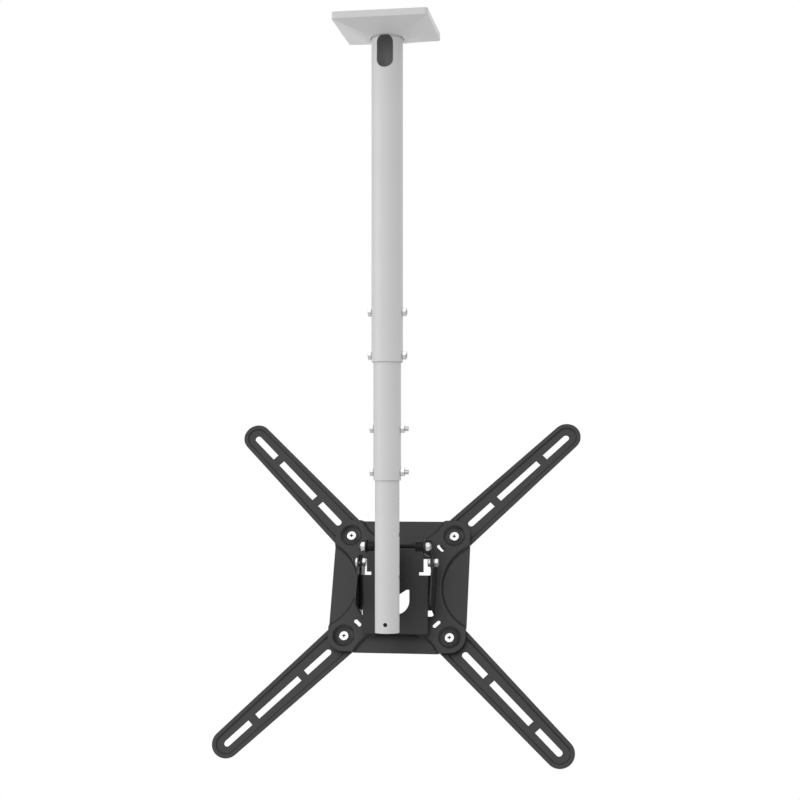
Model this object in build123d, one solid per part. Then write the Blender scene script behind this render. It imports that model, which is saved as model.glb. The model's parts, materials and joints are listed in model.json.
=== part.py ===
from build123d import *
import math
import os

# Telescopic ceiling mount for a flat screen: a canopy, three tubes, a tilting head and four slotted arms.
# The ceiling is the plane Z = 0, the pole hangs along -Z, and the screen side is +Y. Millimetres.

# Ceiling plate and canopy
plate_width = 96.0
plate_thick = 3.0
plate_corner = 6.0
ceiling_hole_spacing = 74.0
ceiling_hole_d = 8.0
cover_width = 114.0
cover_corner = 4.0
cover_rim = 8.0
cover_drop = 11.0
cover_wall = 2.0
cover_neck_flat = 4.0
cover_gap = 1.6

# Pole
upper_tube_d = 38.0
upper_wall = 1.75
inner_wall = 1.5
tube_gap = 0.5
upper_tube_length = 404.5
middle_reach = 142.0
lower_reach = 183.0
middle_stroke = 140.0
lower_stroke = 60.0
tube_cover_length = 20.0
cable_slot_width = 19.5
cable_slot_length = 40.0
cable_slot_lap = 2.0
spare_hole_drop = 127.0
front_hole_d = 5.0
front_hole_rise = 10.5

# Cross bolts of the two telescopic joints
bolt_d = 6.0
hex_across = 10.0
head_height = 4.0
nut_height = 5.0
bolt_pitch = 52.0
upper_bolt_rise = 8.0
lower_bolt_rise = 10.0
upper_bolt_tip = 0.5
lower_bolt_tip = 4.5
bolt_hole_d = 6.6

# Tilting head
sheet = 2.0
yoke_offset = 57.5
yoke_top_half = 35.6
yoke_outer_half = 45.5
yoke_foot_half = 41.0
yoke_bend = 6.0
yoke_height = 108.5
yoke_shoulder_drop = 35.5
leg_rise = 29.5
relief_height = 4.0
relief_depth = 5.6
yoke_opening_r = 17.9
yoke_opening_rise = 42.0
yoke_opening_straight = 13.0
tongue_drop = 3.5
tongue_slope = 0.667
flange_lap = 7.0
rib_thick = 8.0
rib_top_drop = 6.5
rib_web_height = 44.0
rib_tube_height = 78.0
pivot_rise = 100.5
pivot_behind = 4.5
sleeve_d = 14.0
sleeve_length = 10.0
sleeve_round = 0.8
pivot_fit = 0.05
axle_gap = 0.5
cap_d = 9.0
cap_height = 2.5
lock_drop = 20.4
lock_behind = 8.0
lock_lug_r = 9.0
lock_tip = 0.5
side_gap = 0.1
lug_gap = 0.2

# Screen plate, pressed from one sheet
tilt_angle = 22.0
tilt_up = 22.0
tilt_down = 3.0
screen_plate_size = 174.0
arm_spacing = 133.0
vesa_small = 100.0
small_slot_length = 11.5
small_slot_width = 5.0
cross_arc_r = 61.0
cross_waist = 106.0
cross_height = 4.5
cross_draft = 3.0
press_wall = 1.6
seat_r = 14.0
seat_draft = 3.0
seat_proud = 0.2
window_top = 35.5
window_bottom = 40.5
window_corner = 3.0
ear_top = 28.0
ear_bottom = 38.0
ear_height = 43.5
ear_corner = 8.0
lug_r = 9.0
lug_root_low = 37.0
lug_root_high = 60.0
slot_margin_angle = 1.5
pivot_along = 36.1
pivot_off = 45.1

# Slotted arms
arm_reach = 196.5
arm_hub_r = 21.8
arm_tip_r = 18.2
arm_slot_width = 8.4
slot_end_share = 0.49
arm_rim = 6.5
arm_press = 1.8
arm_pocket_share = 0.173
arm_slot_shares = ((0.124, 0.334), (0.389, 0.745), (0.802, 1.015))
arm_fit = 0.05
screw_head_d = 12.5
screw_head_height = 3.2
screw_cross_length = 6.0
screw_cross_width = 1.2
screw_cross_depth = 1.5
screw_tip = 1.0

os.makedirs("parts", exist_ok=True)

# Levels that follow from the sizes above
middle_tube_d = upper_tube_d - 2 * upper_wall - 2 * tube_gap
lower_tube_d = middle_tube_d - 2 * inner_wall - 2 * tube_gap
upper_end = -plate_thick - upper_tube_length
middle_end = upper_end - middle_reach
lower_end = middle_end - lower_reach
upper_bolts = [upper_end + upper_bolt_rise, upper_end + upper_bolt_rise + bolt_pitch]
lower_bolts = [middle_end + lower_bolt_rise, middle_end + lower_bolt_rise + bolt_pitch]
middle_top = upper_bolts[1] + tube_cover_length + middle_stroke
lower_top = lower_bolts[1] + tube_cover_length + lower_stroke
cover_bottom = -cover_rim - cover_drop
pivot_z = lower_end + pivot_rise
yoke_top = pivot_z - bolt_d / 2 - axle_gap
yoke_bottom = pivot_z - yoke_height
yoke_shoulder = pivot_z - yoke_shoulder_drop
leg_bottom = yoke_bottom + leg_rise
pivot_y = yoke_offset + pivot_behind
lock_y = pivot_y + lock_behind
lock_z = pivot_z - lock_drop


def save(name, shape):
    """Write one named piece."""
    export_step(shape, f"parts/{name}.step")


def bar(length, diameter):
    """Round bar from the origin along +X."""
    return Plane.YZ * extrude(Circle(diameter / 2), length)


def hexagon(length):
    """Hex prism from the origin along +X."""
    return Plane.YZ * extrude(RegularPolygon(hex_across / 2, 6, major_radius=False), length)


def both_sides(shape):
    """The shape and its mirror image across the plane X = 0."""
    return [shape, mirror(shape, about=Plane.YZ)]


def block(x0, x1, y0, y1, z0, z1):
    """Box between two corners."""
    size = Box(x1 - x0, y1 - y0, z1 - z0, align=(Align.MIN, Align.MIN, Align.MIN))
    return Pos(x0, y0, z0) * size


def side_plate(outline, x_inner, thickness):
    """Flat plate square to X from an outline in Y and Z, its inner face at x_inner."""
    return Pos(x_inner, 0, 0) * (Plane.YZ * extrude(outline, thickness))


# Frames on the pivot that tilt with the plate: local X as the part's X, local Y up along the plate
# and local Z towards the pole
def pivot_frame(angle):
    """Frame of the plate at a tilt, with its origin on the pivot."""
    lean = math.radians(angle)
    return Plane(
        origin=(0, pivot_y, pivot_z),
        x_dir=(1, 0, 0),
        z_dir=(0, -math.cos(lean), math.sin(lean)),
    )


# Ceiling plate, with one hole near each corner, welded to the top of the pole
plate_square = RectangleRounded(plate_width, plate_width, plate_corner)
ceiling_plate = Pos(0, 0, -plate_thick) * extrude(plate_square, plate_thick)
for place in GridLocations(ceiling_hole_spacing, ceiling_hole_spacing, 2, 2):
    ceiling_plate -= place * Cylinder(ceiling_hole_d / 2, 3 * plate_thick)
save("ceiling_plate", ceiling_plate)


def canopy(inset):
    """Rim and low pyramid of the canopy, smaller all round by an inset."""
    width = cover_width - 2 * inset
    outline = RectangleRounded(width, width, cover_corner - inset)
    rim = Pos(0, 0, -cover_rim) * extrude(outline, cover_rim)
    neck = Circle(upper_tube_d / 2 + cover_gap + cover_neck_flat + cover_wall - inset)
    drop = loft([Pos(0, 0, -cover_rim) * outline, Pos(0, 0, cover_bottom + inset) * neck])
    return rim + drop


cover = canopy(0) - canopy(cover_wall)
cover -= Cylinder(upper_tube_d / 2 + cover_gap, 4 * (cover_rim + cover_drop))
save("ceiling_cover", cover)


def tube(diameter, wall, top, bottom):
    """Round tube between two levels."""
    ring = Circle(diameter / 2) - Circle(diameter / 2 - wall)
    return Pos(0, 0, bottom) * extrude(ring, top - bottom)


def cross_hole(z):
    """Hole for a bolt right through a tube along X."""
    return Pos(-upper_tube_d, 0, z) * bar(2 * upper_tube_d, bolt_hole_d)


def cross_slot(low, high):
    """Slot right through a tube along X between two bolt centres."""
    outline = SlotOverall(high - low + bolt_hole_d, bolt_hole_d, rotation=90)
    return Pos(-upper_tube_d, 0, (low + high) / 2) * (Plane.YZ * extrude(outline, 2 * upper_tube_d))


# The three tubes: the inner ones are slotted above their bolts, so they can be drawn out past them
upper_tube = tube(upper_tube_d, upper_wall, -plate_thick, upper_end)
cable_slot = SlotOverall(cable_slot_length, cable_slot_width, rotation=90)
cable_slot_z = cover_bottom + cable_slot_lap - cable_slot_length / 2
upper_tube -= Pos(0, 0, cable_slot_z) * (Plane.XZ * extrude(cable_slot, upper_tube_d))
for z in upper_bolts:
    upper_tube -= cross_hole(z)
save("upper_tube", upper_tube)

middle_tube = tube(middle_tube_d, inner_wall, middle_top, middle_end)
middle_tube -= cross_slot(upper_bolts[0], upper_bolts[1] + middle_stroke)
for z in lower_bolts:
    middle_tube -= cross_hole(z)
save("middle_tube", middle_tube)

lower_tube = tube(lower_tube_d, inner_wall, lower_top, lower_end)
lower_tube -= cross_slot(lower_bolts[0], lower_bolts[1] + lower_stroke)
for z in lower_bolts:
    lower_tube -= cross_hole(z - spare_hole_drop)
front_hole = Plane.XZ * extrude(Circle(front_hole_d / 2), lower_tube_d)
lower_tube -= Pos(0, 0, lower_end + front_hole_rise) * front_hole
save("lower_tube", lower_tube)


def joint_bolts(name, levels, tube_d, tip):
    """Hex bolts along X through a tube, with their heads on -X and their nuts on +X."""
    bolts = []
    nuts = []
    for z in levels:
        bolt = Pos(-tube_d / 2 - head_height, 0, 0) * hexagon(head_height)
        bolt += Pos(-tube_d / 2, 0, 0) * bar(tube_d + nut_height + tip, bolt_d)
        nut = Pos(tube_d / 2, 0, 0) * (hexagon(nut_height) - bar(nut_height, bolt_d))
        bolts.append(Pos(0, 0, z) * bolt)
        nuts.append(Pos(0, 0, z) * nut)
    save(f"{name}_bolts", Compound(bolts))
    save(f"{name}_nuts", Compound(nuts))


joint_bolts("upper_joint", upper_bolts, upper_tube_d, upper_bolt_tip)
joint_bolts("lower_joint", lower_bolts, middle_tube_d, lower_bolt_tip)

# Rib that carries the yoke behind the lower tube
rib_top = yoke_top - rib_top_drop
rib_outline = Polygon(
    (0, rib_top),
    (yoke_offset, rib_top),
    (yoke_offset, rib_top - rib_web_height),
    (0, rib_top - rib_tube_height),
    align=None,
)
rib = side_plate(rib_outline, -rib_thick / 2, rib_thick)
rib -= Pos(0, 0, lower_end) * Cylinder(lower_tube_d / 2, 4 * yoke_height)
save("standoff", rib)

# Yoke: a folded sheet with a narrow upper web, a wider lower channel and two lock flanges
flange_inner = yoke_outer_half - sheet
channel_depth = 2 * yoke_bend
outer_section = Pos(0, yoke_offset + channel_depth) * RectangleRounded(
    2 * yoke_outer_half, 2 * channel_depth, yoke_bend
)
inner_section = Pos(0, yoke_offset + channel_depth) * RectangleRounded(
    2 * flange_inner, 2 * (channel_depth - sheet), yoke_bend - sheet
)
leg_depth = yoke_bend + sheet
front_half = Pos(0, yoke_offset + leg_depth / 2) * Rectangle(3 * yoke_outer_half, leg_depth)
channel = (outer_section - inner_section) & front_half
web_back = yoke_offset + sheet
yoke = Pos(0, 0, leg_bottom) * extrude(channel, yoke_shoulder - leg_bottom)
yoke += block(-yoke_foot_half, yoke_foot_half, yoke_offset, web_back, yoke_bottom, leg_bottom)
yoke += block(-yoke_top_half, yoke_top_half, yoke_offset, web_back, yoke_shoulder, yoke_top)

fold_y = yoke_offset + yoke_bend
flange_outline = Polygon(
    (fold_y, leg_bottom),
    (fold_y + sheet, leg_bottom),
    (lock_y + flange_lap, lock_z),
    (lock_y, lock_z),
    (fold_y, yoke_shoulder),
    align=None,
)
flange_outline += Pos(lock_y, lock_z) * Circle(lock_lug_r)
lock_hole = Pos(lock_y, lock_z) * Circle(bolt_hole_d / 2)
for flange in both_sides(side_plate(flange_outline - lock_hole, flange_inner, sheet)):
    yoke += flange
relief_inner = yoke_top_half - relief_depth
relief_outer = yoke_top_half + sheet
relief_end = yoke_shoulder + relief_height
relief = block(relief_inner, relief_outer, yoke_offset - sheet, fold_y, yoke_shoulder, relief_end)
for cut in both_sides(relief):
    yoke -= cut

# Cable opening, round at its foot, with a pointed tongue that the rib is welded to
opening_z = yoke_bottom + yoke_opening_rise
tongue_tip = opening_z + tongue_drop
tongue_rise = tongue_slope * 2 * yoke_opening_r
tongue = Polygon(
    (0, tongue_tip),
    (2 * yoke_opening_r, tongue_tip + tongue_rise),
    (-2 * yoke_opening_r, tongue_tip + tongue_rise),
    align=None,
)
straight = Rectangle(2 * yoke_opening_r, yoke_opening_straight, align=(Align.CENTER, Align.MIN))
opening = Pos(0, opening_z) * (Circle(yoke_opening_r) + straight) - tongue
yoke -= Pos(0, yoke_offset + 2 * sheet, 0) * (Plane.XZ * extrude(opening, 3 * sheet))

# Pivot sleeves at the top corners of the yoke
sleeve_outer = yoke_top_half
sleeve_inner = sleeve_outer - sleeve_length
sleeve = bar(sleeve_length, sleeve_d)
sleeve = fillet(sleeve.edges().filter_by(GeomType.CIRCLE), sleeve_round) - bar(sleeve_length, bolt_hole_d)
sleeve = Pos(sleeve_inner, pivot_y, pivot_z) * sleeve
sleeve_seat = bar(sleeve_length + 2 * side_gap, sleeve_d)
sleeve_seat = Pos(sleeve_inner - side_gap, pivot_y, pivot_z) * sleeve_seat
for seat in both_sides(sleeve_seat):
    yoke -= seat
save("tilt_yoke", yoke)
save("pivot_sleeves", Compound(both_sides(sleeve)))

# Axle through both sleeves, with the plate's lugs between sleeves and cap nuts
lug_inner = sleeve_outer + lug_gap
lug_outer = lug_inner + sheet
nut_inner = lug_outer + lug_gap
axle_half = nut_inner + nut_height
axle = Pos(-axle_half, 0, 0) * bar(2 * axle_half, bolt_d)
cap = bar(cap_height, cap_d)
crown = cap.edges().filter_by(GeomType.CIRCLE).sort_by(Axis.X)[-1]
cap = fillet(crown, cap_height - sleeve_round)
cap_nut = hexagon(nut_height) - bar(nut_height, bolt_d)
cap_nut += Pos(nut_height, 0, 0) * cap
pivot_place = Pos(0, pivot_y, pivot_z)
save("pivot_axle", pivot_place * axle)
save("pivot_nuts", Compound(both_sides(pivot_place * Pos(nut_inner, 0, 0) * cap_nut)))

# Lock bolts, both pointing to +X, through the yoke's flanges and the plate's ears
ear_inner = yoke_outer_half + side_gap
ear_outer = ear_inner + sheet
ear_face = ear_outer + side_gap
lock_bolts = []
lock_nuts = []
for head_x, nut_x in ((flange_inner, ear_face), (-ear_face, -flange_inner)):
    bolt = Pos(head_x - head_height, lock_y, lock_z) * hexagon(head_height)
    bolt += Pos(head_x, lock_y, lock_z) * bar(nut_x - head_x + nut_height + lock_tip, bolt_d)
    nut = hexagon(nut_height) - bar(nut_height, bolt_d)
    lock_bolts.append(bolt)
    lock_nuts.append(Pos(nut_x, lock_y, lock_z) * nut)
save("lock_bolts", Compound(lock_bolts))
save("lock_nuts", Compound(lock_nuts))

# Pressed sheet: a cross stands out of it, left by four round hollows at the sides
head = pivot_frame(tilt_angle) * Pos(0, -pivot_along, -pivot_off)
half = screen_plate_size / 2
plate_outline = RectangleRounded(screen_plate_size, screen_plate_size, half - arm_spacing / 2)
hollow_distance = cross_waist / 2 + cross_arc_r
press_depth = cross_height + sheet


def hollows(radius, top):
    """Four cones at the sides of the plate, narrowing away from the pole side."""
    cone = Cone(radius - cross_draft, radius, cross_height, align=(Align.CENTER, Align.CENTER, Align.MIN))
    places = PolarLocations(hollow_distance, 4)
    return [Pos(0, 0, top - cross_height) * place * cone for place in places]


pressing = Pos(0, 0, -press_depth) * extrude(plate_outline, press_depth)
pressing -= hollows(cross_arc_r, 0)
back = Pos(0, 0, -press_depth) * extrude(plate_outline, cross_height)
back -= hollows(cross_arc_r + press_wall, -sheet)
pressing -= back

corners = list(GridLocations(arm_spacing, arm_spacing, 2, 2))
seat_depth = cross_height + seat_proud
seat_back = -sheet - seat_depth
low = (Align.CENTER, Align.CENTER, Align.MIN)
dish = Cone(seat_r - seat_draft, seat_r, seat_depth, align=low)
boss = Cone(seat_r - seat_draft + press_wall, seat_r + press_wall, seat_depth, align=low)
for corner in corners:
    pressing += corner * Pos(0, 0, seat_back) * boss
    pressing -= corner * Pos(0, 0, -seat_depth) * dish
    pressing -= corner * Cylinder(bolt_hole_d / 2, 4 * press_depth)
for place in GridLocations(vesa_small, vesa_small, 2, 2):
    turn = -45 if place.position.X * place.position.Y > 0 else 45
    slot = SlotOverall(small_slot_length, small_slot_width, rotation=turn)
    pressing -= place * (Pos(0, 0, -2 * press_depth) * extrude(slot, 4 * press_depth))

window = Pos(0, (window_top - window_bottom) / 2) * RectangleRounded(
    2 * ear_inner, window_top + window_bottom, window_corner
)
pressing -= Pos(0, 0, -2 * press_depth) * extrude(window, 4 * press_depth)

# Ears beside the window, with an arc slot for the lock bolt, and lugs on the pivot
tilt = math.radians(tilt_angle)
lock_along = lock_behind * math.sin(tilt) - lock_drop * math.cos(tilt)
lock_off = -lock_drop * math.sin(tilt) - lock_behind * math.cos(tilt)
lock_r = math.hypot(lock_along, lock_off)
lock_angle = math.degrees(math.atan2(lock_off, lock_along))
start_angle = lock_angle - tilt_up - slot_margin_angle
sweep_angle = tilt_up + tilt_down + 2 * slot_margin_angle
lock_arc = CenterArc((pivot_along, pivot_off), lock_r, start_angle, sweep_angle)
lock_slot = SlotArc(lock_arc, bolt_hole_d)

ear_outline = Pos((ear_top - ear_bottom) / 2, ear_height / 2) * Rectangle(ear_top + ear_bottom, ear_height)
free_corners = ear_outline.vertices().sort_by(Axis.Y)[2:]
ear_outline = fillet(free_corners, ear_corner) - lock_slot
lug_outline = Pos(pivot_along, pivot_off) * Circle(lug_r)
lug_outline += Polygon(
    (lug_root_low, 0),
    (lug_root_high, 0),
    (pivot_along + lug_r, pivot_off),
    (pivot_along - lug_r, pivot_off),
    align=None,
)
lug_outline -= Pos(pivot_along, pivot_off) * Circle(bolt_d / 2 + pivot_fit)
for outline, inner in ((ear_outline, ear_inner), (lug_outline, lug_inner)):
    flat = Pos(inner, 0, 0) * (Plane.YZ * extrude(outline, sheet))
    for wing in both_sides(flat):
        pressing += wing
save("vesa_plate", head * pressing)

# Arms: a pressed strip that narrows to its tip, with three slots in line
arm_front = seat_back
arm_depth = sheet + arm_press


def strip(start, inset):
    """Outline along +X from a share of the arm's reach to its tip, with round ends, smaller by an inset."""
    start_r = arm_hub_r + (arm_tip_r - arm_hub_r) * start
    hub = Pos(start * arm_reach, 0) * Circle(start_r - inset)
    tip = Pos(arm_reach, 0) * Circle(arm_tip_r - inset)
    return make_hull(hub.edges() + tip.edges())


def arm_slots():
    """Three slots: round where they point to the arm's ends, square between."""
    slots = []
    last = len(arm_slot_shares) - 1
    for index, (start, end) in enumerate(arm_slot_shares):
        slot = Rectangle((end - start) * arm_reach, arm_slot_width)
        slot = Pos((start + end) / 2 * arm_reach, 0) * slot
        ends = slot.vertices().sort_by(Axis.X)
        if index == 0:
            slot = fillet(ends[:2], slot_end_share * arm_slot_width)
        if index == last:
            slot = fillet(ends[2:], slot_end_share * arm_slot_width)
        slots.append(slot)
    return slots


arm = Pos(0, 0, -arm_depth) * extrude(strip(0, 0), arm_depth)
arm -= Pos(0, 0, -arm_press) * extrude(strip(arm_pocket_share, arm_rim), arm_press)
back = strip(0, 0) - strip(arm_pocket_share, arm_rim - press_wall)
arm -= Pos(0, 0, -arm_depth) * extrude(back, arm_press)
for slot in arm_slots():
    arm -= Pos(0, 0, -2 * arm_depth) * extrude(slot, 3 * arm_depth)
arm -= Cylinder(bolt_d / 2 + arm_fit, 4 * arm_depth)

arm_places = {
    "arm_tl": (-1, 1, 135),
    "arm_tr": (1, 1, 45),
    "arm_bl": (-1, -1, -135),
    "arm_br": (1, -1, -45),
}
screws = []
nuts = []
for name, (side, level, turn) in arm_places.items():
    place = Pos(side * arm_spacing / 2, level * arm_spacing / 2, 0)
    save(name, head * (place * Pos(0, 0, arm_front) * Rot(0, 0, turn) * arm))
    arm_back = arm_front - sheet
    screw = Pos(0, 0, -seat_depth) * extrude(Circle(screw_head_d / 2), screw_head_height)
    rim = screw.edges().sort_by(Axis.Z)[-1]
    screw = fillet(rim, screw_head_height / 3)
    head_top = screw_head_height - seat_depth
    for angle in (0, 90):
        groove = Box(screw_cross_length, screw_cross_width, 2 * screw_cross_depth)
        screw -= Pos(0, 0, head_top) * Rot(0, 0, angle) * groove
    shank_end = arm_back - nut_height - screw_tip
    screw += Pos(0, 0, shank_end) * extrude(Circle(bolt_d / 2), -seat_depth - shank_end)
    nut = RegularPolygon(hex_across / 2, 6, major_radius=False) - Circle(bolt_d / 2)
    screws.append(head * (place * screw))
    nuts.append(head * (place * Pos(0, 0, arm_back - nut_height) * extrude(nut, nut_height)))
save("arm_screws", Compound(screws))
save("arm_nuts", Compound(nuts))
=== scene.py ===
# %% [markdown]
# # A telescopic ceiling mount for a flat screen
# A square canopy covers the ceiling plate, three tubes slide in one another, and a tilting head
# carries a pressed plate with four slotted arms. The solids come from the part's own frame, in
# metres, with the ceiling at Z = 0 and the screen side at +Y. This lesson gives them their
# finishes, models the fasteners anew, curves the pressed steel, and sets up the studio.

import bpy
import json
import math
from collections import namedtuple
from mathutils import Matrix, Vector

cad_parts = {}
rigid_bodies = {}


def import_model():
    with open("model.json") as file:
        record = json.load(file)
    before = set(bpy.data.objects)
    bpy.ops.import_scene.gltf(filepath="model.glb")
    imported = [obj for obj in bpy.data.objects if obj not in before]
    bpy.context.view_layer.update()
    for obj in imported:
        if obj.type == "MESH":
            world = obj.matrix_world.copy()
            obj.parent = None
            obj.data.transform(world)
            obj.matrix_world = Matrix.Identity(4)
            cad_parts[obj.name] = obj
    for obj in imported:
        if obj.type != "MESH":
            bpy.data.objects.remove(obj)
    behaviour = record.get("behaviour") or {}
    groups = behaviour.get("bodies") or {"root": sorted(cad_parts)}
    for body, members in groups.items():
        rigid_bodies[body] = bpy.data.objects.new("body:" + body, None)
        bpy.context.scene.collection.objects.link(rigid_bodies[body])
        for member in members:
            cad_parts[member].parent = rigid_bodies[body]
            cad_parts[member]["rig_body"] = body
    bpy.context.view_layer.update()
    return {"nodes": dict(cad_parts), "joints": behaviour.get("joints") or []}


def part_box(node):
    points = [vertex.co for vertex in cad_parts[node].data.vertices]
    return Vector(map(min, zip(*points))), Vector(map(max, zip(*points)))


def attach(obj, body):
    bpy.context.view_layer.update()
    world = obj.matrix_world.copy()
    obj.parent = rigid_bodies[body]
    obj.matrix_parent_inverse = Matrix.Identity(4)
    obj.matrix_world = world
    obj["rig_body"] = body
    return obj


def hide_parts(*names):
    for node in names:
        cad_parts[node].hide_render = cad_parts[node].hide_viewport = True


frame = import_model()
nodes = frame["nodes"]
mm = 0.001

# %% [markdown]
# ## Camera
# The photograph was taken from a little to the right of the pole, level with its lower half. The
# camera stands there and looks level, so the pole stays upright, and a small upward shift of the
# frame brings the canopy into view, as a view camera does.

# %% Camera
eye_azimuth = math.radians(9.73)
eye_distance = 1.828
eye_level = -0.5346
view_turn = math.radians(9.248)
sensor_mm = 36
lens_mm = 68.41
upward_shift = 0.085
eye = (eye_distance * math.sin(eye_azimuth), -eye_distance * math.cos(eye_azimuth), eye_level)
bpy.ops.object.camera_add(location=eye, rotation=(math.pi / 2, 0, view_turn))
camera = bpy.context.object
camera.data.sensor_width = sensor_mm
camera.data.lens = lens_mm
camera.data.shift_y = upward_shift
bpy.context.scene.camera = camera
print("camera at", [round(v, 3) for v in eye])

# %% [markdown]
# ## Wires
# Finishes are made of nodes. A wire is one output socket: sums and products of wires add Math
# nodes, so a mask reads like a formula. Every other node comes from one method, which sets the
# node's own settings first and then fills or links its sockets.


# %% Wires for the finishes
class Wire:
    """One output socket of a node tree, with arithmetic that adds Math nodes."""

    def __init__(self, tree, socket=None):
        self.tree = tree
        self.socket = socket

    def node(self, kind, settings=None, sockets=None, out=0):
        """Add a node: its settings first, then the values or links of its sockets."""
        made = self.tree.nodes.new(kind)
        for key, value in (settings or {}).items():
            setattr(made, key, value)
        for key, value in (sockets or {}).items():
            if isinstance(value, Wire):
                self.tree.links.new(value.socket, made.inputs[key])
            else:
                made.inputs[key].default_value = value
        return Wire(self.tree, made.outputs[out] if made.outputs else None)

    def math(self, operation, first, second):
        return self.node("ShaderNodeMath", {"operation": operation}, {0: first, 1: second})

    def __add__(self, other):
        return self.math("ADD", self, other)

    def __radd__(self, other):
        return self.math("ADD", other, self)

    def __sub__(self, other):
        return self.math("SUBTRACT", self, other)

    def __rsub__(self, other):
        return self.math("SUBTRACT", other, self)

    def __mul__(self, other):
        return self.math("MULTIPLY", self, other)

    def __rmul__(self, other):
        return self.math("MULTIPLY", other, self)

    def __truediv__(self, other):
        return self.math("DIVIDE", self, other)

    def clamped(self):
        return self.math("MAXIMUM", self.math("MINIMUM", self, 1.0), 0.0)


def blank_finish(name):
    """A material with an empty node tree, and a loose wire to build on."""
    finish = bpy.data.materials.new(name)
    finish.use_nodes = True
    finish.node_tree.nodes.clear()
    return finish, Wire(finish.node_tree)


def noise(wire, place, scale, detail=2.0):
    """Soft noise around 0.5, its scale in waves per metre."""
    return wire.node(
        "ShaderNodeTexNoise", {}, {"Vector": place, "Scale": scale, "Detail": detail}
    )


def colour_mix(wire, share, first, second):
    """Colour between two others."""
    return wire.node(
        "ShaderNodeMix", {"data_type": "RGBA"}, {0: share, 6: first, 7: second}, out=2
    )


def ramp(value, slope, offset):
    """A straight line through a value, held between 0 and 1."""
    return (slope * value + offset).clamped()


print("wires ready")

# %% [markdown]
# ## Powder coat
# The steel is coated with powder that melts in an oven. It sets with the faint ripple of orange
# peel and a satin gloss; along folded edges its colour is painted a little brighter, a painted
# highlight. Noise on object coordinates gives the ripple and a barely visible cloudiness. A Bevel
# node rounds the sharp solid edges in shading, and what it changes marks where the edges are and
# so where the painted highlight goes. The tubes are bare inside; the lower tube's bore is painted
# nearly black, as painted shade.

# %% Powder coat and moulded plastic
bevel_samples = 6
edge_gain = 3.0
cloud_waves = 14.0
cloud_tone = 0.93
gloss_ripple = 0.12
bare_margin = 0.5 * mm
bare_fade = 0.4 * mm


def edge_share(wire, rounded):
    """How far the rounded normal departs from the face's own: 0 on flats, more along edges."""
    flat = wire.node("ShaderNodeNewGeometry", out=1)
    along = wire.node(
        "ShaderNodeVectorMath", {"operation": "DOT_PRODUCT"}, {0: rounded, 1: flat}, out=1
    )
    return ((1.0 - along) * edge_gain).clamped()


def surface(wire, ripple, depth, rounded, sockets):
    """Close a finish: a ripple raised on the rounded normal, and the shader's other sockets."""
    bump = wire.node(
        "ShaderNodeBump",
        {},
        {"Strength": 1.0, "Distance": depth, "Height": ripple, "Normal": rounded},
    )
    shader = wire.node("ShaderNodeBsdfPrincipled", {}, {**sockets, "Normal": bump})
    wire.node("ShaderNodeOutputMaterial", {}, {"Surface": shader})


def coat(
    name,
    tone,
    edge_highlight_tone,
    roughness,
    peel_waves,
    peel_depth,
    edge_radius,
    gloss=0.5,
    bore_r=None,
    bore_tone_and_shade=None,
):
    """Satin coat with orange peel, cloudy tone and a painted edge highlight; a bore round Z gets a
    bore tone, for the lower tube painted shade.
    """
    finish, wire = blank_finish(name)
    place = wire.node("ShaderNodeTexCoord", out=3)
    rounded = wire.node("ShaderNodeBevel", {"samples": bevel_samples}, {"Radius": edge_radius})
    peel = noise(wire, place, peel_waves)
    cloud = noise(wire, place, cloud_waves, detail=3.0)
    deep = tuple(cloud_tone * v for v in tone)
    body = colour_mix(wire, cloud, (*deep, 1), (*tone, 1))
    # Painted highlight: along edges the colour is mixed towards the brighter edge tone.
    body = colour_mix(wire, edge_share(wire, rounded), body, (*edge_highlight_tone, 1))
    if bore_r:
        level = wire.node(
            "ShaderNodeVectorMath", {"operation": "MULTIPLY"}, {0: place, 1: (1, 1, 0)}
        )
        radial = wire.node("ShaderNodeVectorMath", {"operation": "LENGTH"}, {0: level}, out=1)
        bare = ((bore_r + bare_margin - radial) / bare_fade).clamped()
        # Inside the bore the colour turns to the bore's tone; for the lower tube that tone is
        # painted shade.
        body = colour_mix(wire, bare, body, (bore_tone_and_shade, bore_tone_and_shade, bore_tone_and_shade, 1))
    sockets = {
        "Base Color": body,
        "Roughness": roughness + gloss_ripple * (peel - 0.5),
        "Specular IOR Level": gloss,
    }
    surface(wire, peel, peel_depth, rounded, sockets)
    return finish


white_powder = {
    "tone": (0.80, 0.80, 0.80),
    "edge_highlight_tone": (0.84, 0.84, 0.84),
    "roughness": 0.42,
    "peel_waves": 700,
    "peel_depth": 0.02 * mm,
    "edge_radius": 0.6 * mm,
}
bare_bores = {
    "upper_tube": (17.25 * mm, 0.55),
    "middle_tube": (15.25 * mm, 0.55),
    # Nearly black: painted shade inside the lower tube's bore.
    "lower_tube": (13.25 * mm, 0.06),
}
tube_coats = {
    name: coat(f"white_coat_{name}", **white_powder, bore_r=bore_r, bore_tone_and_shade=bore_tone_and_shade)
    for name, (bore_r, bore_tone_and_shade) in bare_bores.items()
}
white_coat = coat("white_powder_coat", **white_powder)
black_coat = coat(
    "black_powder_coat",
    tone=(0.023, 0.023, 0.0235),
    edge_highlight_tone=(0.026, 0.026, 0.0265),
    roughness=0.44,
    peel_waves=1500,
    peel_depth=0.04 * mm,
    edge_radius=1.5 * mm,
)
black_oxide = coat(
    "black_oxide",
    tone=(0.006, 0.006, 0.0062),
    edge_highlight_tone=(0.012, 0.012, 0.0124),
    roughness=0.34,
    peel_waves=900,
    peel_depth=0.01 * mm,
    edge_radius=0.4 * mm,
    gloss=0.25,
)
white_shell = coat(
    "white_moulded_plastic",
    tone=(0.80, 0.80, 0.795),
    edge_highlight_tone=(0.84, 0.84, 0.835),
    roughness=0.36,
    peel_waves=1800,
    peel_depth=0.006 * mm,
    edge_radius=0.9 * mm,
)
print("coats:", white_coat.name, black_coat.name, white_shell.name, *tube_coats)
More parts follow.
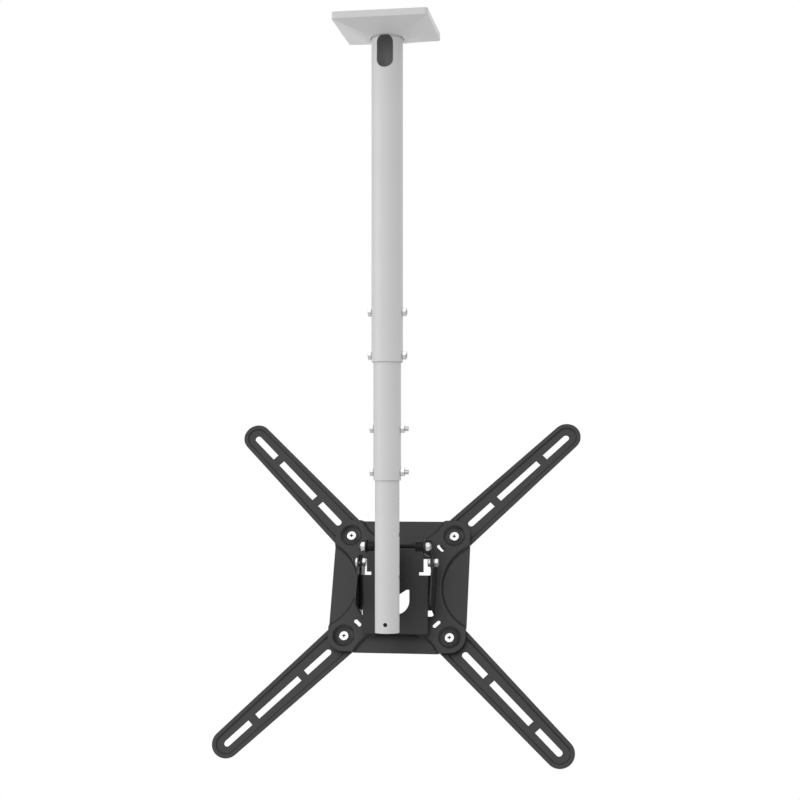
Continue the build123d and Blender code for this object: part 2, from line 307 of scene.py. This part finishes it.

# %% [markdown]
# ## Bright zinc
# Bolts, nuts and screws are zinc plated: bright, a little blue, with soft cloudy patches where
# the plating is duller. The cross recess of a screw is dull, and painted dark as painted shade.


# %% Bright zinc
def bright_zinc(name, edge_radius, cloud_scale, grain_scale, grain_depth):
    """Plated steel with cloudy gloss."""
    finish, wire = blank_finish(name)
    place = wire.node("ShaderNodeTexCoord", out=3)
    rounded = wire.node("ShaderNodeBevel", {"samples": bevel_samples}, {"Radius": edge_radius})
    cloud = noise(wire, place, cloud_scale, detail=3.0)
    grain = noise(wire, place, grain_scale)
    body = colour_mix(wire, cloud, (0.74, 0.745, 0.76, 1), (0.90, 0.90, 0.90, 1))
    sockets = {"Base Color": body, "Metallic": 1.0, "Roughness": 0.2 + 0.18 * cloud}
    surface(wire, grain, grain_depth, rounded, sockets)
    return finish


zinc = bright_zinc(
    "bright_zinc",
    edge_radius=0.3 * mm,
    cloud_scale=260,
    grain_scale=3000,
    grain_depth=0.004 * mm,
)
# Painted shade: the cross recess is coloured nearly black.
recess = coat(
    "dull_recess",
    tone=(0.02, 0.02, 0.021),
    edge_highlight_tone=(0.03, 0.03, 0.031),
    roughness=0.7,
    peel_waves=2000,
    peel_depth=0.01 * mm,
    edge_radius=0.2 * mm,
    gloss=0.2,
)
print("plating:", zinc.name, "and in the screws' recesses:", recess.name)

# %% [markdown]
# ## Which finish goes where
# The solids keep their shape and get their finish through their own material slots.

# %% Dress the solids
finish_of = {
    "white_steel": white_coat,
    "white_plastic": white_shell,
    "black_steel": black_coat,
    "zinc": zinc,
}
own_finish = {**tube_coats, "pivot_sleeves": black_oxide, "pivot_axle": black_oxide}
for name, solid in nodes.items():
    for slot in solid.material_slots:
        key = slot.material.name.split(".")[0]
        slot.material = own_finish.get(name, finish_of[key])

# %% [markdown]
# ## Tools
# A few steps come again and again: taking hold of one piece, selecting part of it by place or by
# normal, cutting one piece with another, and letting a finished piece stand for a solid.


# %% Tools for every piece
def fresh():
    """Leave edit mode and deselect everything."""
    if bpy.context.object and bpy.context.object.mode != "OBJECT":
        bpy.ops.object.mode_set(mode="OBJECT")
    bpy.ops.object.select_all(action="DESELECT")


def take(piece):
    """Select one piece alone, in object mode."""
    fresh()
    bpy.context.view_layer.objects.active = piece
    piece.select_set(True)


def pick(piece, parts, test):
    """Select the vertices or polygons of the active piece that pass a test, in edit mode."""
    bpy.ops.object.mode_set(mode="EDIT")
    bpy.ops.mesh.select_all(action="DESELECT")
    bpy.ops.object.mode_set(mode="OBJECT")
    for part in getattr(piece.data, parts):
        part.select = test(part)
    bpy.ops.object.mode_set(mode="EDIT")


def carve(piece, cutter, operation):
    """Apply a boolean of two pieces and drop the cutter."""
    take(piece)
    cut = piece.modifiers.new("cut", "BOOLEAN")
    cut.operation = operation
    cut.solver = "EXACT"
    cut.object = cutter
    bpy.ops.object.modifier_apply(modifier=cut.name)
    bpy.data.objects.remove(cutter)


def joined(pieces):
    """Pieces joined into the first one."""
    fresh()
    for piece in pieces:
        piece.select_set(True)
    bpy.context.view_layer.objects.active = pieces[0]
    bpy.ops.object.join()
    return bpy.context.object


def stand_for(piece, node):
    """Smooth a piece but for its sharp edges, and let it take a node's place."""
    take(piece)
    bpy.ops.object.shade_smooth_by_angle(angle=math.radians(30))
    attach(piece, nodes[node]["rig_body"])
    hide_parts(node)
    print(piece.name, "stands for", node, "with", len(piece.data.polygons), "faces")


def place_copies(name, node, pattern, places):
    """Copies of a pattern at places, joined into one piece that stands for a node."""
    copies = []
    for place in places:
        copy = pattern.copy()
        copy.data = pattern.data.copy()
        bpy.context.scene.collection.objects.link(copy)
        copy.data.transform(place)
        copies.append(copy)
    bpy.data.objects.remove(pattern)
    piece = joined(copies)
    piece.name = name
    if not piece.data.materials:
        piece.data.materials.append(zinc)
    stand_for(piece, node)


print("tools ready")

# %% [markdown]
# ## Fasteners
# The mount is held by hex bolts and nuts, two cap nuts on the tilt axle, and four pan-head screws
# with a cross recess. As solids they are plain prisms and discs. A real nut is a hexagon whose
# corners were turned off in a lathe, so here a hexagonal prism is intersected with a flat cone,
# which leaves the curved edges that one sees on every nut. Threads come from a V-shaped profile
# that the Screw modifier winds up, one pitch for each turn.

# %% Blanks and threads
bolt_r = 3.0 * mm
across = 10.0 * mm
head_height = 4.0 * mm
nut_height = 5.0 * mm
pitch = 1.0 * mm
thread_depth = 0.55 * mm
thread_steps = 32
merge_reach = 0.01 * mm
round_sides = 64
chamfer_run = 1 / math.tan(math.radians(30))
chamfer_r = 0.475 * across


def cone(low_r, high_r, height, base):
    """Round cone or disc along +Z that stands at a level."""
    fresh()
    bpy.ops.mesh.primitive_cone_add(
        vertices=round_sides,
        radius1=low_r,
        radius2=high_r,
        depth=height,
        location=(0, 0, base + height / 2),
    )
    bpy.ops.object.transform_apply(location=True)
    return bpy.context.object


def cut_level(piece, level, upper):
    """Cut a piece square to Z at a level, closing the cut, and keep its lower or upper part."""
    take(piece)
    bpy.ops.object.mode_set(mode="EDIT")
    bpy.ops.mesh.select_all(action="SELECT")
    bpy.ops.mesh.bisect(
        plane_co=(0, 0, level),
        plane_no=(0, 0, 1),
        use_fill=True,
        clear_inner=upper,
        clear_outer=not upper,
    )
    bpy.ops.object.mode_set(mode="OBJECT")


def hex_blank(height, both):
    """Hexagonal prism on Z = 0 with its corners turned off at the top, or at both ends."""
    fresh()
    bpy.ops.mesh.primitive_cylinder_add(
        vertices=6, radius=across / math.sqrt(3), depth=height, location=(0, 0, height / 2)
    )
    bpy.ops.object.transform_apply(location=True)
    blank = bpy.context.object
    far_r = chamfer_r + chamfer_run * height
    carve(blank, cone(far_r, chamfer_r, height, 0), "INTERSECT")
    if both:
        carve(blank, cone(chamfer_r, far_r, height, 0), "INTERSECT")
    return blank


def thread(start, end):
    """Threaded rod along +Z between two levels, closed at both ends."""
    fresh()
    bpy.ops.mesh.primitive_circle_add(vertices=4, radius=pitch / 2, rotation=(math.pi / 2, 0, 0))
    bpy.ops.object.transform_apply(rotation=True)
    rod = bpy.context.object
    back = min(rod.data.vertices, key=lambda vertex: vertex.co.x).index
    pick(rod, "vertices", lambda vertex: vertex.index == back)
    bpy.ops.mesh.delete(type="VERT")
    bpy.ops.mesh.select_all(action="SELECT")
    bpy.ops.transform.resize(value=(2 * thread_depth / pitch, 1, 1), center_override=(0, 0, 0))
    bpy.ops.transform.translate(value=(bolt_r - thread_depth, 0, start - 2 * pitch))
    bpy.ops.object.mode_set(mode="OBJECT")
    winding = rod.modifiers.new("winding", "SCREW")
    winding.axis = "Z"
    winding.screw_offset = pitch
    winding.iterations = math.ceil((end - start) / pitch) + 4
    winding.steps = winding.render_steps = thread_steps
    winding.use_merge_vertices = True
    winding.use_normal_calculate = True
    bpy.ops.object.modifier_apply(modifier=winding.name)
    bpy.ops.object.mode_set(mode="EDIT")
    bpy.ops.mesh.select_all(action="SELECT")
    bpy.ops.mesh.remove_doubles(threshold=merge_reach)
    bpy.ops.mesh.normals_make_consistent(inside=False)
    bpy.ops.object.mode_set(mode="OBJECT")
    cut_level(rod, start, True)
    cut_level(rod, end, False)
    return rod


print("thread pitch", pitch / mm, "mm, across flats", across / mm, "mm")

# %% [markdown]
# A hex bolt is a head, a plain shank and a threaded end. A nut is drilled and countersunk at both
# faces. A cap nut closes its hole with a dome. Each is made once along +Z, and then copied to the
# places where the solids have it.

# %% Bolt, nut and cap nut
point_length = 0.4 * mm
sink = 0.5 * mm


def hex_bolt(length, threaded):
    """Bolt along +Z with the underside of its head at Z = 0 and the head below it."""
    head = hex_blank(head_height, False)
    head.data.transform(Matrix.Rotation(math.pi, 4, "X"))
    shank = cone(bolt_r, bolt_r, length - threaded, 0)
    shoulder = length - point_length
    tip = thread(length - threaded, shoulder)
    point = cone(bolt_r - thread_depth / 2, bolt_r - thread_depth, point_length, shoulder)
    return joined([head, shank, tip, point])


def hex_nut():
    """Nut along +Z from Z = 0, countersunk at both faces."""
    nut = hex_blank(nut_height, True)
    wide_r = bolt_r + 2 * sink
    narrow_r = bolt_r - sink
    carve(nut, cone(bolt_r, bolt_r, 3 * nut_height, -nut_height), "DIFFERENCE")
    carve(nut, cone(wide_r, narrow_r, 3 * sink, -sink), "DIFFERENCE")
    carve(nut, cone(narrow_r, wide_r, 3 * sink, nut_height - 2 * sink), "DIFFERENCE")
    return nut


def cap_nut(cap_r, cap_height):
    """Cap nut along +Z from Z = 0 with a dome on its far face."""
    nut = hex_blank(nut_height, True)
    fresh()
    bpy.ops.mesh.primitive_uv_sphere_add(segments=48, ring_count=24, radius=cap_r)
    dome = bpy.context.object
    bpy.ops.transform.resize(value=(1, 1, cap_height / cap_r))
    bpy.ops.object.transform_apply(scale=True)
    cut_level(dome, 0, True)
    dome.data.transform(Matrix.Translation((0, 0, nut_height)))
    return joined([nut, dome])


print("bolt point", point_length / mm, "mm, countersink", sink / mm, "mm")

# %% [markdown]
# A pan-head screw is a disc with a rounded rim. Two tapered blades, one across the other, cut the
# cross recess, and the faces that they leave get a dull finish painted dark, as painted shade.

# %% Cross-recess screw
rim_round = 0.4
recess_depth = 2.0 * mm
recess_width = 1.7 * mm
recess_taper = (0.5, 0.7)
top_margin = 0.02 * mm
base_margin = 0.1 * mm


def recess_blade(length, level, turn):
    """Blade that reaches down from a level and narrows towards its foot."""
    fresh()
    bpy.ops.mesh.primitive_cube_add(size=1)
    blade = bpy.context.object
    bpy.ops.transform.resize(value=(length, recess_width, 2 * recess_depth))
    bpy.ops.object.transform_apply(scale=True)
    pick(blade, "polygons", lambda face: face.normal.z < -0.5)
    bpy.ops.transform.resize(value=(*recess_taper, 1), center_override=(0, 0, -recess_depth))
    bpy.ops.object.mode_set(mode="OBJECT")
    blade.data.transform(Matrix.Translation((0, 0, level)) @ Matrix.Rotation(turn, 4, "Z"))
    return blade


def cross_screw(pan_r, pan_height, length):
    """Pan-head screw along -Z, the underside of its head at Z = 0, with a cross recess on top."""
    head = cone(pan_r, pan_r, pan_height, 0)
    pick(head, "polygons", lambda face: face.normal.z > 0.5)
    bpy.ops.mesh.bevel(offset=rim_round * pan_height, segments=6)
    bpy.ops.object.mode_set(mode="OBJECT")
    for turn in (0, math.pi / 2):
        carve(head, recess_blade(pan_r, pan_height, turn), "DIFFERENCE")
    head.data.materials.append(zinc)
    head.data.materials.append(recess)
    # Faces sunk in the recess take the painted shade.
    for face in head.data.polygons:
        sunk = base_margin < face.center.z < pan_height - top_margin
        face.material_index = int(sunk and face.center.xy.length < 0.5 * pan_r)
    tip = thread(0, length)
    tip.data.transform(Matrix.Rotation(math.pi, 4, "X"))
    return joined([head, tip])


print("cross recess", recess_depth / mm, "mm deep")

# %% [markdown]
# The places come from the solids' own boxes: each bolt's underside lies one head's height inside
# the box, and the bolts' axes lie half the width across flats inside it. The hexagons have two
# flats level, as the solids have.


# %% Bolts and nuts of the telescopic joints
def along_x(x, y, z):
    """Place that turns a fastener from +Z to +X and starts it at a point."""
    return Matrix.Translation((x, y, z)) @ Matrix.Rotation(math.pi / 2, 4, "Y")


joint_thread = 12 * mm
for joint in ("upper_joint", "lower_joint"):
    low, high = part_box(f"{joint}_bolts")
    nut_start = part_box(f"{joint}_nuts")[0].x
    levels = (low.z + across / 2, high.z - across / 2)
    under = low.x + head_height
    bolt = hex_bolt(high.x - under, joint_thread)
    places = [along_x(under, 0, z) for z in levels]
    place_copies(f"{joint}_hex_bolts", f"{joint}_bolts", bolt, places)
    places = [along_x(nut_start, 0, z) for z in levels]
    place_copies(f"{joint}_hex_nuts", f"{joint}_nuts", hex_nut(), places)

# %% Lock bolts and nuts
lock_thread = 8 * mm
lock_overhang = 0.5 * mm
low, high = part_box("lock_bolts")
nut_low, nut_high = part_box("lock_nuts")
lock_y = (low.y + high.y) / 2
lock_z = (low.z + high.z) / 2
left_under = low.x + head_height
left_tip = nut_low.x + nut_height + lock_overhang
grip = left_tip - left_under
right_under = high.x - grip
bolt = hex_bolt(grip, lock_thread)
places = [along_x(x, lock_y, lock_z) for x in (left_under, right_under)]
place_copies("lock_hex_bolts", "lock_bolts", bolt, places)
places = [along_x(x, lock_y, lock_z) for x in (nut_low.x, nut_high.x - nut_height)]
place_copies("lock_hex_nuts", "lock_nuts", hex_nut(), places)

# %% Cap nuts of the tilt axle
cap_r = 4.5 * mm
low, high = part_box("pivot_nuts")
axle_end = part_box("pivot_axle")[1].x
pivot_y = (low.y + high.y) / 2
pivot_z = (low.z + high.z) / 2
right_cap = along_x(axle_end - nut_height, pivot_y, pivot_z)
half_turn = Matrix.Rotation(math.pi, 4, "Z") @ Matrix.Translation((0, -2 * pivot_y, 0))
places = [right_cap, half_turn @ right_cap]
place_copies("axle_cap_nuts", "pivot_nuts", cap_nut(cap_r, high.x - axle_end), places)

# %% [markdown]
# The screws and nuts of the arms stand square to the tilted plate. Each arm's swivel joint gives
# the axis and a hub on the plate's front, and the solids give how far the screws reach from there.

# %% Screws and nuts of the arms
swivels = [joint for joint in frame["joints"] if joint["name"].startswith("swivel")]
hubs = {swivel["name"][-2:]: Vector(swivel["pos_m"]) for swivel in swivels}
front_point = Vector(swivels[0]["pos_m"])
axis = Vector(swivels[0]["axis"]).normalized()
square = axis.to_track_quat("Z", "Y").to_matrix().to_4x4()


def height_of(place):
    """Height of a place along the swivels' axis, from the plate's front."""
    return (place - front_point).dot(axis)


def square_places(height):
    """Places at each hub, square to the plate, at a height."""
    return [Matrix.Translation(hub + height * axis) @ square for hub in hubs.values()]


pan_height = 3.2 * mm
pan_r = 6.25 * mm
screw_heights = [height_of(vertex.co) for vertex in nodes["arm_screws"].data.vertices]
nut_base = min(height_of(vertex.co) for vertex in nodes["arm_nuts"].data.vertices)
seat = max(screw_heights) - pan_height
screw = cross_screw(pan_r, pan_height, seat - min(screw_heights))
place_copies("arm_pan_screws", "arm_screws", screw, square_places(seat))
place_copies("arm_hex_nuts", "arm_nuts", hex_nut(), square_places(nut_base))

# %% [markdown]
# ## Pressed steel
# A press can't fold sheet over a sharp edge: each wall that it draws meets the flats in a soft
# curve. The solids have those edges sharp, so the plate and the arms are copied here, the copies'
# loose corners are merged, and the edges at the head and foot of the drawn walls are bevelled.
# Each face's lean to the arms' swivel axis tells flats from walls: 1 for a flat that faces the
# front, 0 for a wall square to it. Heights count along that axis from the plate's front.

# %% Tools for pressed steel
same = 0.03 * mm
flat_angle = math.radians(0.5)
Edge = namedtuple("Edge", "leans feet level place")


def merged_copy(name, node):
    """Copy of a node with its loose corners merged, left in edit mode with edges to pick."""
    piece = bpy.data.objects.new(name, nodes[node].data.copy())
    bpy.context.scene.collection.objects.link(piece)
    take(piece)
    bpy.ops.mesh.customdata_custom_splitnormals_clear()
    bpy.ops.object.mode_set(mode="EDIT")
    bpy.ops.mesh.select_mode(type="EDGE")
    bpy.ops.mesh.select_all(action="SELECT")
    bpy.ops.mesh.remove_doubles(threshold=merge_reach)
    return piece


def pick_edges(piece, test):
    """Select the edges that pass a test of their faces' leans and feet, their height and middle."""
    bpy.ops.mesh.select_all(action="DESELECT")
    bpy.ops.object.mode_set(mode="OBJECT")
    corners = [vertex.co for vertex in piece.data.vertices]
    faces = {}
    for face in piece.data.polygons:
        foot = min(height_of(corners[i]) for i in face.vertices)
        for key in face.edge_keys:
            faces.setdefault(key, []).append((face.normal.dot(axis), foot))
    picked = 0
    for edge in piece.data.edges:
        first, second = (corners[i] for i in edge.vertices)
        leans, feet = zip(*faces[edge.key])
        level = abs(height_of(first) - height_of(second)) < same
        edge.select = test(Edge(leans, feet, level, (first + second) / 2))
        picked += edge.select
    bpy.ops.object.mode_set(mode="EDIT")
    return picked


print("plate's front at", [round(v, 4) for v in front_point])

# %% [markdown]
# On the plate, the flats are first dissolved into whole faces and the walls into single steps, so
# nothing stands in the bevels' way. The seats of the screws are bowls: a wide curve at the foot and
# a tighter one at the rim. The walls of the four hollows keep more of their slope.

# %% Pressed plate
flat_lean = 0.999
wall_leans = (0.3, 0.8)
seat_reach = 16 * mm
seat_middle = -2 * mm
foot_curve = 4.0 * mm
rim_curve = 1.4 * mm
hollow_curve = 1.2 * mm
curve_steps = 6


def is_wall(lean):
    return wall_leans[0] < lean < wall_leans[1]


def in_seat(place):
    """Whether a place lies in the seat of one of the arms' screws."""
    offsets = [place - hub for hub in hubs.values()]
    return min((offset - offset.dot(axis) * axis).length for offset in offsets) < seat_reach


def is_inside_flat(edge):
    return min(edge.leans) > flat_lean or max(edge.leans) < -flat_lean


def is_ring(edge):
    return edge.level and all(is_wall(lean) for lean in edge.leans)


def is_bend(edge):
    return edge.level and max(edge.leans) > flat_lean and is_wall(min(edge.leans))


def is_seat_foot(edge):
    return is_bend(edge) and in_seat(edge.place) and height_of(edge.place) < seat_middle


def is_seat_rim(edge):
    return is_bend(edge) and in_seat(edge.place) and height_of(edge.place) > seat_middle


def is_hollow_edge(edge):
    return is_bend(edge) and not in_seat(edge.place)


plate = merged_copy("pressed_plate", "vesa_plate")
bpy.ops.mesh.tris_convert_to_quads(face_threshold=math.radians(1), shape_threshold=math.pi)
pick_edges(plate, is_inside_flat)
bpy.ops.mesh.dissolve_limited(angle_limit=flat_angle)
pick_edges(plate, is_ring)
bpy.ops.mesh.dissolve_edges()
for test, width in (
    (is_seat_foot, foot_curve),
    (is_seat_rim, rim_curve),
    (is_hollow_edge, hollow_curve),
):
    picked = pick_edges(plate, test)
    bpy.ops.mesh.bevel(offset=width, segments=curve_steps, clamp_overlap=False)
    print("curved", picked, "edges by", round(width / mm, 1), "mm")
bpy.ops.mesh.select_mode(type="VERT")
stand_for(plate, "vesa_plate")

# %% [markdown]
# An arm is a strip with a long pocket pressed into it, and its slots lie in the pocket's floor. In
# the photograph the pocket runs on under the plate's corner, so its round end is moved towards the
# hub. Its wall then gets a slope, which shows as a dark line along each arm. The move is a few
# millimetres too long: behind the arm the pocket's end runs into the nut and the screw's hole.

# %% Pressed arms
pocket_depth = 1.8 * mm
pocket_slope = 1.75 * mm
pocket_shift = 15 * mm
pocket_end = (15 * mm, 36 * mm)
slot_start = 22 * mm
slot_half = 5 * mm
arm_turns = {"tl": 135, "tr": 45, "bl": -135, "br": -45}
right = Vector((1, 0, 0))
rise = axis.cross(right)


def pocket_end_test(hub, along):
    """Test for the corners of a pocket's round end, near a hub, but not those of its slot."""
    sideways = axis.cross(along)

    def in_pocket_end(vertex):
        offset = vertex.co - hub
        reach = offset.dot(along)
        clear_of_slot = reach < slot_start or abs(offset.dot(sideways)) > slot_half
        return pocket_end[0] < reach < pocket_end[1] and clear_of_slot

    return in_pocket_end


def pocket_rim_test(front):
    """Test for the edges at a front's height from which a wall goes down to the pocket's floor."""

    def is_pocket_rim(edge):
        at_front = edge.level and abs(height_of(edge.place) - front) < same
        return at_front and any(abs(front - foot - pocket_depth) < same for foot in edge.feet)

    return is_pocket_rim


for corner, hub in hubs.items():
    arm = merged_copy(f"pressed_arm_{corner}", f"arm_{corner}")
    bpy.ops.mesh.dissolve_limited(angle_limit=flat_angle)
    turn = math.radians(arm_turns[corner])
    along = math.cos(turn) * right + math.sin(turn) * rise
    bpy.ops.mesh.select_mode(type="VERT")
    pick(arm, "vertices", pocket_end_test(hub, along))
    bpy.ops.transform.translate(value=-pocket_shift * along)
    bpy.ops.mesh.select_mode(type="EDGE")
    front = max(height_of(vertex.co) for vertex in arm.data.vertices)
    picked = pick_edges(arm, pocket_rim_test(front))
    bpy.ops.mesh.bevel(offset=pocket_slope, segments=1, clamp_overlap=False)
    print("sloped", picked, "edges of the pocket")
    bpy.ops.mesh.select_mode(type="VERT")
    stand_for(arm, f"arm_{corner}")

# %% [markdown]
# ## Studio
# The light comes mostly from above and from a soft box at the left. What the surfaces mirror is
# another matter: the white room stands in front and above, and there is a white backdrop behind,
# while the sides and the floor are dark. So white tubes turn gently from left to right and gleam at
# their edges, and on black steel the flats gleam while the drawn walls go nearly black. To the
# camera the surround is plain white. The floor lies well below the hanging mount, and its rim
# fades into the white.

# %% Floor
floor_r = 3.0
floor_level = -2.0
fresh()
bpy.ops.mesh.primitive_circle_add(
    vertices=96, radius=floor_r, fill_type="NGON", location=(0, 0, floor_level)
)
floor = bpy.context.object
floor.name = "floor"
floor_finish, wire = blank_finish("pale_floor")
place = wire.node("ShaderNodeTexCoord", out=3)
reach = wire.node("ShaderNodeVectorMath", {"operation": "LENGTH"}, {0: place}, out=1)
fade = ramp(reach, slope=0.5, offset=-0.4)
pale = wire.node("ShaderNodeBsdfDiffuse", {}, {"Color": (0.7, 0.7, 0.7, 1)})
glow = wire.node("ShaderNodeEmission", {}, {"Color": (1, 1, 1, 1), "Strength": 1.0})
seen = wire.node("ShaderNodeLightPath", out=0)
mixed = wire.node("ShaderNodeMixShader", {}, {0: seen * fade, 1: pale, 2: glow})
wire.node("ShaderNodeOutputMaterial", {}, {"Surface": mixed})
floor.data.materials.append(floor_finish)
print("floor at", floor.location.z)

# %% Surround
dim = 0.35
bright = 0.92
dark_mirror = 0.05
room_mirror = 1.35
front_up = (0, -0.77, 0.63)
world = bpy.data.worlds.new("studio")
world.use_nodes = True
world.node_tree.nodes.clear()
bpy.context.scene.world = world
wire = Wire(world.node_tree)
camera_ray = wire.node("ShaderNodeLightPath")
rays = camera_ray.socket.node.outputs
glossy_ray = Wire(wire.tree, rays["Is Glossy Ray"])
seen = wire.math("MAXIMUM", camera_ray, Wire(wire.tree, rays["Is Transmission Ray"]))
towards = wire.node("ShaderNodeTexCoord", out=0)
parts = wire.node("ShaderNodeSeparateXYZ", {}, {0: towards}).socket.node.outputs
behind = Wire(wire.tree, parts["Y"])
height = Wire(wire.tree, parts["Z"])
facing = wire.node(
    "ShaderNodeVectorMath", {"operation": "DOT_PRODUCT"}, {0: towards, 1: front_up}, out=1
)
lit = dim + (bright - dim) * (height * 0.5 + 0.5)
room = ramp(facing, slope=1.2, offset=-0.12)
backdrop = ramp(behind, slope=5.0, offset=-3.1) * ramp(height, slope=3.0, offset=1.9)
mirrored = dark_mirror + room_mirror * room + backdrop
strength = lit + glossy_ray * (mirrored - lit)
surround = wire.node("ShaderNodeBackground", {}, {"Color": (1, 1, 1, 1), "Strength": strength})
white = wire.node("ShaderNodeBackground", {}, {"Color": (1, 1, 1, 1), "Strength": 1.0})
mixed = wire.node("ShaderNodeMixShader", {}, {0: seen, 1: surround, 2: white})
wire.node("ShaderNodeOutputWorld", {}, {"Surface": mixed})
print("surround from", dim, "below to", bright, "above")

# %% Key light
key_place = Vector((-2.0, -0.9, 0.0))
key_target = Vector((0, 0.03, -0.42))
key_width = 1.2
key_watts = 10
aim = (key_target - key_place).to_track_quat("-Z", "Y").to_euler()
bpy.ops.object.light_add(type="AREA", location=key_place, rotation=aim)
key_light = bpy.context.object
key_light.name = "key"
key_light.data.size = key_width
key_light.data.energy = key_watts
bpy.context.scene.view_settings.view_transform = "Standard"
print("key light of", key_watts, "W at", [round(v, 2) for v in key_place])
